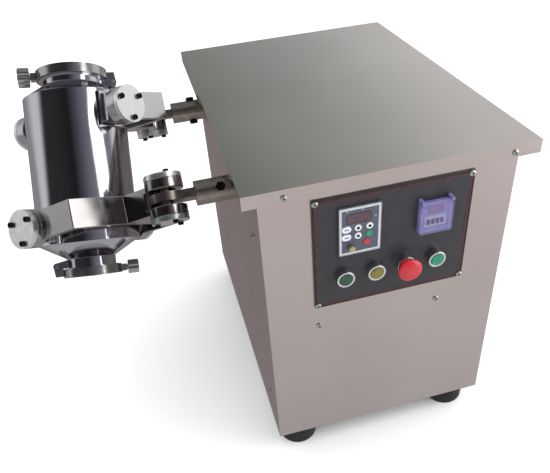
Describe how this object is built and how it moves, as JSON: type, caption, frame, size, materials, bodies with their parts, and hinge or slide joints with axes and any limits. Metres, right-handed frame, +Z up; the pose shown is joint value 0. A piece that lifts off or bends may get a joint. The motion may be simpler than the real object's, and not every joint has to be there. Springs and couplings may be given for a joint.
{
  "type": "three-dimensional mixer",
  "caption": "Laboratory mixer: a steel barrel held by two stirrups between two parallel shafts on the left of a floor-standing cabinet with a control plate.",
  "frame": {"origin": "on the floor, under the middle of the cabinet body", "axes": "+X to the right along the shafts, +Y to the back, +Z up; the control plate faces -Y"},
  "size_m": [0.8067, 0.6675, 0.6943],
  "materials": {
    "sheet_steel": "satin",
    "top_steel": "satin",
    "frame_paint": "satin",
    "foot_rubber": "matt",
    "screw_steel": "bright",
    "block_iron": "painted",
    "bearing_steel": "ground",
    "drive_paint": "semi-gloss",
    "belt_rubber": "matt",
    "box_plastic": "matt",
    "gland_nylon": "matt",
    "plate_face": "satin film",
    "keypad_frame": "satin",
    "timer_plastic": "gloss",
    "timer_cover": "clear, tinted",
    "collar_chrome": "polished",
    "lens_dark_green": "gloss",
    "lens_olive": "gloss",
    "lens_red": "gloss",
    "lens_teal": "gloss",
    "key_white": "matt",
    "key_green": "matt",
    "key_red": "matt",
    "knob_brass": "turned",
    "shaft_steel": "turned",
    "pulley_steel": "turned",
    "fan_plastic": "matt",
    "stirrup_steel": "polished",
    "bush_bronze": "sintered",
    "cap_steel": "polished",
    "barrel_steel": "polished",
    "lid_steel": "satin",
    "seal_silicone": "matt",
    "knob_steel": "satin"
  },
  "bodies": {
    "cabinet": {"frame": "frame_paint", "bearing_portals": "frame_paint", "front_panel": "sheet_steel", "left_panel": "sheet_steel", "right_panel": "sheet_steel", "back_panel": "sheet_steel", "top_plate": "top_steel", "feet": "foot_rubber", "cabinet_fasteners": "screw_steel", "pillow_blocks": "block_iron", "bearing_inserts": "bearing_steel", "gearbox": "drive_paint", "motor": "drive_paint", "fan_cover": "drive_paint", "drive_belt": "belt_rubber", "inverter": "box_plastic", "cable_gland": "gland_nylon", "control_plate": "plate_face", "keypad_bezel": "keypad_frame", "timer_case": "timer_plastic", "button_collars": "collar_chrome", "contact_blocks": "box_plastic", "power_lamp": "lens_teal"},
    "timer_flap": {"timer_flap": "timer_cover"},
    "start_button": {"start_button": "lens_dark_green"},
    "jog_button": {"jog_button": "lens_olive"},
    "stop_button": {"stop_button": "lens_red"},
    "key_mode": {"key_mode": "key_white"},
    "key_store": {"key_store": "key_white"},
    "key_up": {"key_up": "key_white"},
    "key_down": {"key_down": "key_white"},
    "key_shift": {"key_shift": "key_white"},
    "key_run": {"key_run": "key_green"},
    "key_stop": {"key_stop": "key_red"},
    "speed_knob": {"speed_knob": "knob_brass"},
    "drive_shaft": {"drive_shaft": "shaft_steel", "drive_pulley": "pulley_steel", "drive_cross_bolt": "shaft_steel"},
    "gearbox_output": {"gearbox_output": "pulley_steel"},
    "motor_fan": {"motor_fan": "fan_plastic"},
    "driven_shaft": {"driven_shaft": "shaft_steel", "driven_cross_bolt": "shaft_steel", "front_pin": "shaft_steel"},
    "rear_stirrup": {"rear_stirrup": "stirrup_steel", "rear_pin": "shaft_steel", "rear_bushes": "bush_bronze", "rear_caps": "cap_steel"},
    "barrel": {"barrel_shell": "barrel_steel", "trunnions": "barrel_steel", "neck_gaskets": "seal_silicone", "hinge_pins": "shaft_steel"},
    "front_stirrup": {"front_stirrup": "stirrup_steel", "front_bushes": "bush_bronze", "front_caps": "cap_steel"},
    "top_closure": {"lid": "lid_steel", "top_clamp": "lid_steel"},
    "top_knob": {"top_knob": "knob_steel"},
    "bottom_closure": {"bottom_cover": "lid_steel", "bottom_clamp": "lid_steel"},
    "bottom_knob": {"bottom_knob": "knob_steel"}
  },
  "joints": [
    {"name": "drive_shaft_turn", "type": "hinge", "parent": "cabinet", "child": "drive_shaft", "pos_m": [-0.3191, 0.16125, 0.5222], "axis": [1, 0, 0], "range_deg": [-10, 5]},
    {"name": "rear_stirrup_swing", "type": "hinge", "parent": "drive_shaft", "child": "rear_stirrup", "pos_m": [-0.3191, 0.16125, 0.5222], "axis": [0, -0.5033, -0.8641], "range_deg": [-3.5, 6.5]},
    {"name": "barrel_swing", "type": "hinge", "parent": "rear_stirrup", "child": "barrel", "pos_m": [-0.44261, 0.04084, 0.59233], "axis": [0.7484, -0.5732, 0.3338], "range_deg": [-7.5, 15]},
    {"name": "front_stirrup_swing", "type": "hinge", "parent": "barrel", "child": "front_stirrup", "pos_m": [-0.45946, -0.06842, 0.4425], "axis": [-0.6571, -0.572, 0.491], "range_deg": [-13, 6.5]},
    {"name": "driven_shaft_turn", "type": "hinge", "parent": "cabinet", "child": "driven_shaft", "pos_m": [-0.3191, -0.16125, 0.5222], "axis": [1, 0, 0], "range_deg": [-5, 9.5]},
    {"name": "gearbox_output_turn", "type": "hinge", "parent": "cabinet", "child": "gearbox_output", "pos_m": [0.02, 0.05, 0.19], "axis": [1, 0, 0], "range_deg": [-15.5, 8]},
    {"name": "motor_fan_turn", "type": "hinge", "parent": "cabinet", "child": "motor_fan", "pos_m": [0.02, 0.05, 0.19], "axis": [0, 1, 0], "range_deg": [-605, 305]},
    {"name": "lid_swing", "type": "hinge", "parent": "barrel", "child": "top_closure", "pos_m": [-0.36989, 0.08101, 0.63191], "axis": [-0.1337, 0.8078, -0.5741], "range_deg": [0, 110]},
    {"name": "lid_screw_turn", "type": "hinge", "parent": "top_closure", "child": "top_knob", "pos_m": [-0.43576, 0.08527, 0.65324], "axis": [0.9869, 0.0556, -0.1516], "range_deg": [0, 360]},
    {"name": "bottom_cover_swing", "type": "hinge", "parent": "barrel", "child": "bottom_closure", "pos_m": [-0.52249, -0.1092, 0.3998], "axis": [-0.1337, 0.8078, -0.5741], "range_deg": [0, 100]},
    {"name": "bottom_screw_turn", "type": "hinge", "parent": "bottom_closure", "child": "bottom_knob", "pos_m": [-0.46649, -0.11401, 0.37998], "axis": [-0.9869, -0.0556, 0.1516], "range_deg": [0, 360]},
    {"name": "timer_flap_lift", "type": "hinge", "parent": "cabinet", "child": "timer_flap", "pos_m": [0.0685, -0.3139, 0.5209], "axis": [-1, 0, 0], "range_deg": [0, 85]},
    {"name": "speed_knob_turn", "type": "hinge", "parent": "cabinet", "child": "speed_knob", "pos_m": [-0.06635, -0.303, 0.46775], "axis": [0, 1, 0], "range_deg": [-150, 150]},
    {"name": "start_button_press", "type": "slide", "parent": "cabinet", "child": "start_button", "axis": [0, 1, 0], "range_m": [0, 0.004], "stiffness_N_per_m": 400},
    {"name": "jog_button_press", "type": "slide", "parent": "cabinet", "child": "jog_button", "axis": [0, 1, 0], "range_m": [0, 0.004], "stiffness_N_per_m": 400},
    {"name": "stop_button_press", "type": "slide", "parent": "cabinet", "child": "stop_button", "axis": [0, 1, 0], "range_m": [0, 0.004]},
    {"name": "key_mode_press", "type": "slide", "parent": "cabinet", "child": "key_mode", "axis": [0, 1, 0], "range_m": [0, 0.0008], "stiffness_N_per_m": 300},
    {"name": "key_store_press", "type": "slide", "parent": "cabinet", "child": "key_store", "axis": [0, 1, 0], "range_m": [0, 0.0008], "stiffness_N_per_m": 300},
    {"name": "key_up_press", "type": "slide", "parent": "cabinet", "child": "key_up", "axis": [0, 1, 0], "range_m": [0, 0.0008], "stiffness_N_per_m": 300},
    {"name": "key_down_press", "type": "slide", "parent": "cabinet", "child": "key_down", "axis": [0, 1, 0], "range_m": [0, 0.0008], "stiffness_N_per_m": 300},
    {"name": "key_shift_press", "type": "slide", "parent": "cabinet", "child": "key_shift", "axis": [0, 1, 0], "range_m": [0, 0.0008], "stiffness_N_per_m": 300},
    {"name": "key_run_press", "type": "slide", "parent": "cabinet", "child": "key_run", "axis": [0, 1, 0], "range_m": [0, 0.0008], "stiffness_N_per_m": 300},
    {"name": "key_stop_press", "type": "slide", "parent": "cabinet", "child": "key_stop", "axis": [0, 1, 0], "range_m": [0, 0.0008], "stiffness_N_per_m": 300}
  ],
  "couplings": [
    {"joint": "rear_stirrup_swing", "follows": "drive_shaft_turn", "ratio": -0.617},
    {"joint": "barrel_swing", "follows": "drive_shaft_turn", "ratio": -1.463},
    {"joint": "front_stirrup_swing", "follows": "drive_shaft_turn", "ratio": 1.259},
    {"joint": "driven_shaft_turn", "follows": "drive_shaft_turn", "ratio": -0.921},
    {"joint": "gearbox_output_turn", "follows": "drive_shaft_turn", "ratio": 1.5},
    {"joint": "motor_fan_turn", "follows": "drive_shaft_turn", "ratio": 60}
  ]
}
